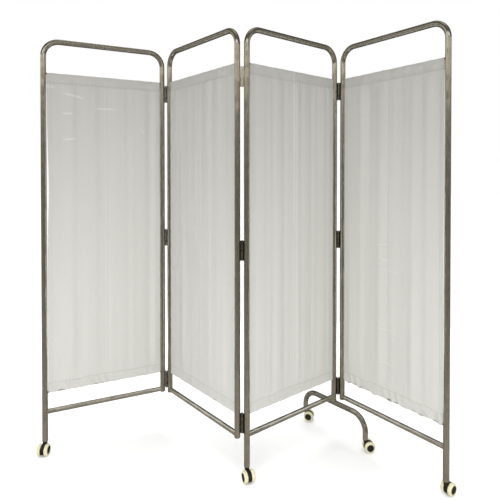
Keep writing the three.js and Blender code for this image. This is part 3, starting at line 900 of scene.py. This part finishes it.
# Butt hinges: one leaf carries the pin, the other turns on it
hinge = {
    "length": 0.0762,
    "width": 0.010,
    "thickness": 0.0015,
    "apart": 0.0008,
    "knuckles": 5,
    "knuckleRadius": 0.0032,
    "knuckleGap": 0.0004,
    "pinRadius": 0.0016,
    "pinClear": 0.0002,
    "clear": 0.0005,
    "highlightEdge": 0.0006,
    "corner": 0.002,
    "edge": 0.00025,
    "welds": 6,
    "weldRadius": 0.0011,
    "weldHalf": 0.0036,
}
hingeSteel = hingeFinish("hingeSteel")
# Painted highlight: a pale copy of the hinge steel, for one hinge that mirrors bright light
brightHinge = steelFinish("brightHinge", (0.84, 0.83, 0.80), (0.93, 0.92, 0.90), smooth=0.12, rough=0.2)


def knuckleSpan(i):
    pitch = (hinge["length"] + hinge["knuckleGap"]) / hinge["knuckles"]
    low = -hinge["length"] / 2 + i * pitch
    return low, low + pitch - hinge["knuckleGap"]


def addBlock(name, low, high):
    deselect()
    centre = [(a + b) / 2 for a, b in zip(low, high)]
    size = [b - a for a, b in zip(low, high)]
    bpy.ops.mesh.primitive_cube_add(size=1, location=centre, scale=size)
    bpy.context.object.name = name
    applyPlace()
    return bpy.context.object


def combine(piece, other, operation):
    pickOnly(piece)
    modify("BOOLEAN", object=other, operation=operation, solver="EXACT")
    bpy.data.objects.remove(other)


def buildLeaf(name, carriesPin):
    # About its pin on Z, the post towards +X and the plate along +Y
    own = [i for i in range(hinge["knuckles"]) if (i % 2 == 0) == carriesPin]
    half, radius, edge = hinge["length"] / 2, hinge["knuckleRadius"], hinge["edge"]
    inner = hinge["apart"] / 2
    outer = inner + hinge["thickness"]
    piece = addBlock(name, (inner, radius + hinge["clear"], -half), (outer, hinge["width"], half))
    far, hair = hinge["width"] - 1e-5, 1e-5
    selectEdges(piece, lambda a, b: a.y > far and b.y > far and abs(a.x - b.x) > hair)
    bpy.ops.mesh.bevel(offset=hinge["corner"], segments=5)
    bpy.ops.object.mode_set(mode="OBJECT")
    modify("BEVEL", width=edge, segments=2, limit_method="ANGLE", angle_limit=math.radians(50))
    for i in own:
        low, high = knuckleSpan(i)
        reach = radius + hinge["clear"] + 0.0006
        tab = addBlock("tab", (inner, -0.0002, low + edge), (outer - edge / 3, reach, high - edge))
        combine(piece, tab, "UNION")
        rings = ((radius - edge, low), (radius, low + edge), (radius, high - edge), (radius - edge, high))
        combine(piece, turned("barrel", rings, 24), "UNION")
    if carriesPin:
        pin, reach, slope = hinge["pinRadius"], half + 0.0006, 0.0005
        rings = ((pin - slope, -reach), (pin, -reach + slope), (pin, reach - slope), (pin - slope, reach))
        combine(piece, turned("pin", rings, 20), "UNION")
    else:
        bore = hinge["pinRadius"] + hinge["pinClear"]
        combine(piece, turned("bore", ((bore, -half - 0.002), (bore, half + 0.002)), 20), "DIFFERENCE")
    # A row of weld between the plate and its post
    for step in range(hinge["welds"]):
        height = half * (2 * (step + 0.5) / hinge["welds"] - 1) * 0.9
        rings = [
            (hinge["weldRadius"] * math.sin(math.pi * k / 6) + 0.0001, height + hinge["weldHalf"] * (k / 3 - 1))
            for k in range(7)
        ]
        drop = turned("drop", rings, 12)
        drop.location = (outer + 0.0003, hinge["width"] - 0.0012, 0)
        applyPlace()
        combine(piece, drop, "UNION")
    keepTubeSpace(piece)
    smooth()
    return piece


def buildHinges():
    pinLeaf = buildLeaf("pinLeafPattern", True)
    plainLeaf = buildLeaf("plainLeafPattern", False)
    lines = ((0, 1, -1), (1, 2, 1), (2, 3, -1))
    for line, (left, right, pinSide) in enumerate(lines):
        for level in ("low", "middle", "top"):
            name = f"hinge_{line + 1}_{level}"
            low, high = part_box(f"{name}_leaf")
            height = (low[2] + high[2]) / 2
            for pattern, panel, side, node in (
                (pinLeaf, left, -1, f"{name}_pin_leaf"),
                (plainLeaf, right, 1, f"{name}_leaf"),
            ):
                piece = copyOf(pattern, node.replace("leaf", "plate"))
                across = farPin if side < 0 else -screen["pinReach"]
                stand = moveBy(across, pinSide * screen["pinSetOff"], height)
                mirror = Matrix.Diagonal((side, -pinSide, 1, 1))
                # The top hinge at the front edge is bright all over, where the photograph shows the others dark
                # Painted highlight: that hinge is given the pale copy of the steel
                finish = brightHinge if (line, level) == (1, "top") else hingeSteel
                setInPlace(piece, panels[panel] @ stand @ mirror, f"panel_{panel + 1}", "hinge", finish, node)
    bpy.data.objects.remove(pinLeaf)
    bpy.data.objects.remove(plainLeaf)


# Twin-wheel casters: the stem on Z, the wheels trailing along +X
caster = {
    "wheelRadius": 0.0225,
    "wheelWidth": 0.014,
    "wheelSides": 56,
    "shoulder": 0.003,      # round edge of the tread
    "tread": 0.0056,        # from the hood's side to the moulding line
    "hoodWidth": 0.015,
    "hoodRadius": 0.0205,
    "hoodLift": 0.0035,
    "grooves": (-0.0045, -0.0015, 0.0015, 0.0045),
    "grooveDepth": 0.0009,
    "trail": 0.015,
    "gap": 0.0005,
    "hubRadius": 0.0158,
    "hubBore": 0.0034,
    "stemRadius": 0.005,
    "collarRadius": 0.009,
}
creamTread = mouldedFinish("creamTread", (0.68, 0.64, 0.42), (0.78, 0.755, 0.56), 0.35, 0.55, grain=500.0)


def buildTyre():
    # Cream ring with a narrow tread, crowned out to the hub disc, a moulding line where the two meet
    outer, width, hub = caster["wheelRadius"], caster["wheelWidth"], caster["hubRadius"]
    edge, tread = caster["shoulder"], caster["tread"]
    rings = [(hub - 0.001, 0.0006), (hub + 0.002, 0.0)]
    for step in range(6):
        angle = math.radians(-90 + 90 * step / 5)
        rings.append((outer - edge + edge * math.cos(angle), edge + edge * math.sin(angle)))
    rings += [(outer, 0.0048), (outer - 0.00035, 0.0052), (outer - 0.0001, tread)]
    for step in range(1, 11):
        angle = math.radians(90 * step / 10)
        rings.append((hub + (outer - hub) * math.cos(angle) ** 0.9, tread + (width - tread) * math.sin(angle)))
    rings.append((hub - 0.001, width - 0.0008))
    piece = turned("tyrePattern", rings, caster["wheelSides"], (0, 1, 0), ring=True)
    smooth(40)
    return piece


def buildHub():
    # Black disc, hollowed between its rim and a raised boss
    width, hub, bore = caster["wheelWidth"], caster["hubRadius"], caster["hubBore"]
    rings = (
        (bore, 0.0008), (hub - 0.0008, 0.0008), (hub - 0.0008, width - 0.0012), (hub - 0.0012, width - 0.0004),
        (hub - 0.0024, width - 0.0002), (hub - 0.0032, width - 0.0012), (hub - 0.0040, width - 0.0022),
        (0.0066, width - 0.0026), (0.0058, width - 0.0012), (0.0050, width - 0.0003), (bore, width - 0.0003),
    )
    piece = turned("hubPattern", rings, caster["wheelSides"], (0, 1, 0), ring=True)
    smooth(40)
    return piece


def buildHood():
    # Moulding between the wheels: a ribbed disc cut flat over the floor, a block up to the stem
    half, radius = caster["hoodWidth"] / 2, caster["hoodRadius"]
    height, floorOfGroove = caster["wheelRadius"], radius - caster["grooveDepth"]
    rings = [(0.002, -half), (radius - 0.0008, -half), (radius, -half + 0.0008)]
    for groove in caster["grooves"]:
        rings += [(radius, groove - 0.0007), (floorOfGroove, groove - 0.0004)]
        rings += [(floorOfGroove, groove + 0.0004), (radius, groove + 0.0007)]
    rings += [(radius, half - 0.0008), (radius - 0.0008, half), (0.002, half)]
    piece = turned("hoodPattern", rings, 64, (0, 1, 0))
    piece.location = (caster["trail"], 0, height)
    applyPlace()
    editAll()
    bpy.ops.mesh.bisect(plane_co=(0, 0, caster["hoodLift"]), plane_no=(0, 0, 1), clear_inner=True, use_fill=True)
    tidyFaces()
    boss = caster["stemRadius"] + 0.002
    block = addBlock("block", (-boss, -half, height), (boss, half, 2 * height + 0.0003))
    # The block's foot is longer, towards the wheels most
    for vertex in block.data.vertices:
        if vertex.co.z < height + 0.001:
            vertex.co.x += 0.006 if vertex.co.x < 0 else 0.012
    modify("BEVEL", width=0.0016, segments=3, limit_method="ANGLE", angle_limit=math.radians(30))
    combine(piece, block, "UNION")
    smooth(40)
    return piece


def buildStem():
    # Nylon stem with its collar, let into the leg
    stem, collar = caster["stemRadius"], caster["collarRadius"]
    top = 2 * caster["wheelRadius"] + 0.0005
    rings = (
        (collar - 0.0006, top), (collar, top + 0.0004), (collar, top + 0.0012), (collar - 0.0006, top + 0.0016),
        (stem, top + 0.0016), (stem, top + 0.018), (stem - 0.001, top + 0.020),
    )
    piece = turned("stemPattern", rings, 32)
    keepTubeSpace(piece)
    smooth()
    return piece


def buildAxle():
    half = caster["hoodWidth"] / 2 + caster["gap"] + caster["wheelWidth"] - 0.001
    rings = ((0.0018, -half), (0.0029, -half + 0.0006), (0.0029, half - 0.0006), (0.0018, half))
    piece = turned("axlePattern", rings, 24, (0, 1, 0))
    piece.location = (caster["trail"], 0, caster["wheelRadius"])
    applyPlace()
    keepTubeSpace(piece, lambda co: (co.x, co.z, co.y))
    smooth()
    return piece


def buildCasters():
    hood, stem, axle, tyre, hub = buildHood(), buildStem(), buildAxle(), buildTyre(), buildHub()
    for where in ("panel_1", "panel_3", "panel_4", "foot_back", "foot_front"):
        body = f"caster_{where}"
        stands = joints[f"{body}_swivel"]["pos_m"]
        rolls = joints[f"{body}_left_roll"]["axis"]
        heading = math.atan2(rolls[1], rolls[0]) - math.pi / 2
        place = moveBy(stands[0], stands[1], 0) @ Matrix.Rotation(heading, 4, "Z")
        setInPlace(copyOf(hood, f"{body}_hood"), place, body, "hood", blackNylon, f"{body}_hood")
        setInPlace(copyOf(stem, f"{body}_stem"), place, body, "hood", blackNylon)
        setInPlace(copyOf(axle, f"{body}_axle"), place, body, "steel", hingeSteel)
        for side, way in (("left", 1), ("right", -1)):
            out = way * (caster["hoodWidth"] / 2 + caster["gap"])
            stand = place @ (moveBy(caster["trail"], out, caster["wheelRadius"]) @ Matrix.Diagonal((1, way, 1, 1)))
            wheel = f"{body}_{side}"
            piece = setInPlace(copyOf(tyre, f"{wheel}_tyre"), stand, wheel, "wheel", creamTread, f"{wheel}_wheel")
            piece.visible_glossy = False
            setInPlace(copyOf(hub, f"{wheel}_hub"), stand, wheel, "hood", blackNylon)
    for pattern in (hood, stem, axle, tyre, hub):
        bpy.data.objects.remove(pattern)


buildFrames()
print("frames and rails made")
buildFoot()
buildWelds()
buildPlugs()
print("foot, welds and plugs made")
buildRods()
buildCloths(clothFinish("curtainCloth"))
print("curtains made")
buildHinges()
print("hinges made")
buildCasters()
print("casters made")

# Floor, light and the room that polished steel mirrors
studio = {
    "floorSize": 40.0,
    "floorColour": (0.96, 0.96, 0.96, 1),
    "floorGlow": 0.13,
    "lowLights": (("frontLight", (0.2, -1.55, 0.45), 21.5), ("backLight", (0.0, 1.8, 0.60), 16.0)),
    "lowLightSize": (3.0, 0.6),
    "strip": {"place": (0.1, -2.1, 2.6), "size": (4.0, 0.55), "power": 6.0, "aim": 0.9},
    # Name, power, degrees off the vertical, breadth in degrees
    "suns": (("overheadLight", 2.7, 0, 60), ("frontFill", 0.30, 75, 70)),
    "ambient": 0.15,
    # What polished steel mirrors, by the sine of the height it looks at: (sine, brightness)
    "room": (
        (-1.0, 0.20), (-0.85, 0.20), (-0.60, 0.30), (-0.50, 0.38), (-0.43, 0.35), (-0.38, 0.28),
        (-0.20, 0.22), (-0.03, 0.22), (0.03, 0.26), (0.12, 0.34), (0.17, 0.50), (0.25, 0.90),
        (0.30, 0.25), (0.40, 0.14), (0.60, 0.16), (0.80, 0.12), (0.92, 0.32), (1.0, 0.70),
    ),
    "roomColour": (1.0, 0.93, 0.78),
}


def layFloor():
    deselect()
    bpy.ops.mesh.primitive_plane_add(size=studio["floorSize"], location=(0, 8, 0))
    floor = bpy.context.object
    floor.name = "studio_floor"
    colours = {"Base Color": studio["floorColour"], "Emission Color": (1, 1, 1, 1)}
    finish, tree, shader = newFinish("paleFloor", Roughness=0.9, **colours)
    # The paper glows a little for the camera alone, so the shadows on it stay faint
    seen = addNode(tree, "LightPath").outputs["Is Camera Ray"]
    tree.links.new(times(tree, seen, studio["floorGlow"]), shader.inputs["Emission Strength"])
    floor.data.materials.append(finish)
    floor.visible_glossy = False


def addLight(kind, name, place, power, **settings):
    bpy.ops.object.light_add(type=kind, location=place)
    light = bpy.context.object
    light.name = name
    light.data.energy = power
    for key, value in settings.items():
        setattr(light.data, key, value)
    return light


def facing(start, target):
    return (Vector(target) - Vector(start)).to_track_quat("-Z", "Y").to_euler()


def addSoftBox(name, place, power, size, start, target):
    light = addLight("AREA", name, place, power, shape="RECTANGLE", size=size[0], size_y=size[1])
    light.rotation_euler = facing(start, target)
    light.visible_camera = False
    return light


def addLights():
    # Wide, low soft boxes shine level at the screen, and so fade towards the top of the cloth
    for name, (x, y, z), power in studio["lowLights"]:
        light = addSoftBox(name, (x, y, z), power, studio["lowLightSize"], (x, y, 0), (x, 0, 0))
        light.visible_glossy = False
    # A long lamp over the front that only the polished tubes mirror
    strip = studio["strip"]
    place, target = strip["place"], (strip["place"][0], 0, strip["aim"])
    light = addSoftBox("mirroredStrip", place, strip["power"], strip["size"], place, target)
    light.visible_diffuse = False
    for name, power, tilt, breadth in studio["suns"]:
        light = addLight("SUN", name, (0, 0, 4), power, angle=math.radians(breadth))
        light.rotation_euler = (math.radians(tilt), 0, 0)
        light.visible_glossy = False


def buildWorld():
    # White to the camera, soft grey as light, and a plain banded room in mirrors
    world = bpy.data.worlds.new("studioRoom")
    bpy.context.scene.world = world
    world.use_nodes = True
    tree = world.node_tree
    tree.nodes.clear()
    place = addNode(tree, "TexCoord").outputs["Generated"]
    parts = addNode(tree, "SeparateXYZ", Vector=place).outputs
    rise = addNode(tree, "ValToRGB", Fac=spread(tree, parts["Z"], 0.0, 1.0, -1.0, 1.0))
    ramp = rise.color_ramp
    while len(ramp.elements) < len(studio["room"]):
        ramp.elements.new(0.5)
    for element, (sine, value) in zip(ramp.elements, studio["room"]):
        element.position = (sine + 1) / 2
        element.color = (*(value * part for part in studio["roomColour"]), 1)
    squash = addNode(tree, "Mapping", Vector=place, Scale=(1.7, 1.7, 0.25))
    walls = addNode(tree, "TexNoise", Vector=squash.outputs[0], Scale=3.0, Detail=2.0, Roughness=0.7)
    contrast = spread(tree, walls.outputs[0], 0.6, 1.4, 0.41, 0.59)
    # The room behind the screen is darker, so the tubes get dark edges
    behind = spread(tree, parts["Y"], 1.0, 0.45, 0.2, 0.75)
    banded = toned(tree, rise.outputs["Color"], 1.0, times(tree, contrast, behind))
    white = addNode(tree, "Background", Color=(1, 1, 1, 1), Strength=1.0)
    soft = addNode(tree, "Background", Color=(1, 1, 1, 1), Strength=studio["ambient"])
    mirrored = addNode(tree, "Background", Color=banded, Strength=1.0)

    def switch(factor, off, on):
        node = addNode(tree, "MixShader")
        for socket, source in zip(node.inputs, (factor, off.outputs[0], on.outputs[0])):
            tree.links.new(source, socket)
        return node

    path = addNode(tree, "LightPath").outputs
    seen = switch(path["Is Camera Ray"], switch(path["Is Glossy Ray"], soft, mirrored), white)
    tree.links.new(seen.outputs[0], tree.nodes.new("ShaderNodeOutputWorld").inputs["Surface"])


layFloor()
addLights()
buildWorld()
print("studio set")
